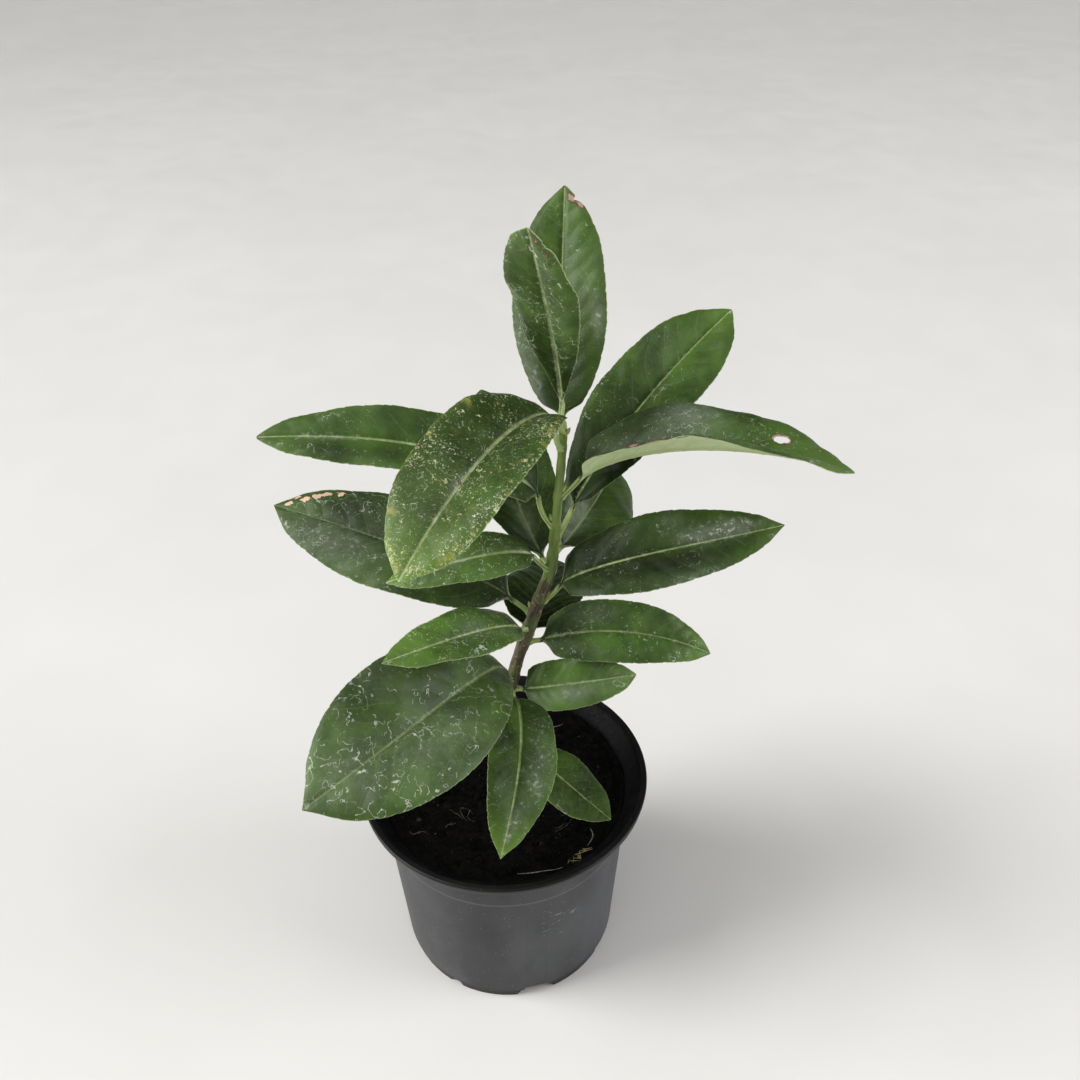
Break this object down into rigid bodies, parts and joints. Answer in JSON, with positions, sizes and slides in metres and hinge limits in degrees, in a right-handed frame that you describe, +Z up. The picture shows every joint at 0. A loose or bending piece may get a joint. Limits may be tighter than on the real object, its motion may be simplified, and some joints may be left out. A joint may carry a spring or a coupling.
{
  "type": "potted cherry laurel",
  "caption": "Young cherry laurel with one upright stem and broad glossy evergreen leaves, growing in peat in a round black nursery pot.",
  "frame": {"origin": "centre of the pot's underside, on the surface that the pot stands on", "axes": "+Z up along the pot's axis; +X to the right and +Y away from the viewer, as the picture shows the plant"},
  "size_m": [0.2136, 0.167, 0.3641],
  "materials": {
    "pot_plastic": "black moulded plastic, satin and dusty",
    "peat": "dark moist peat with small lumps and fibres",
    "stem_bark": "smooth green stem, brown and woody below",
    "leaf_green": "waxy dark green blade with a paler midrib and underside"
  },
  "bodies": {
    "root": {"pot": "pot_plastic", "soil": "peat", "stem": "stem_bark", "leaf_crown_back": "leaf_green", "leaf_crown_front": "leaf_green", "leaf_speckled": "leaf_green", "leaf_holed": "leaf_green", "leaf_upper_left": "leaf_green", "leaf_upper_right": "leaf_green", "leaf_back_right": "leaf_green", "leaf_back_left": "leaf_green", "leaf_left_small": "leaf_green", "leaf_right_long": "leaf_green", "leaf_spotted": "leaf_green", "leaf_left_lower": "leaf_green", "leaf_back_low": "leaf_green", "leaf_right_lower": "leaf_green", "leaf_large_front": "leaf_green", "leaf_right_small": "leaf_green", "leaf_front_centre": "leaf_green", "leaf_front_low": "leaf_green"}
  },
  "joints": []
}
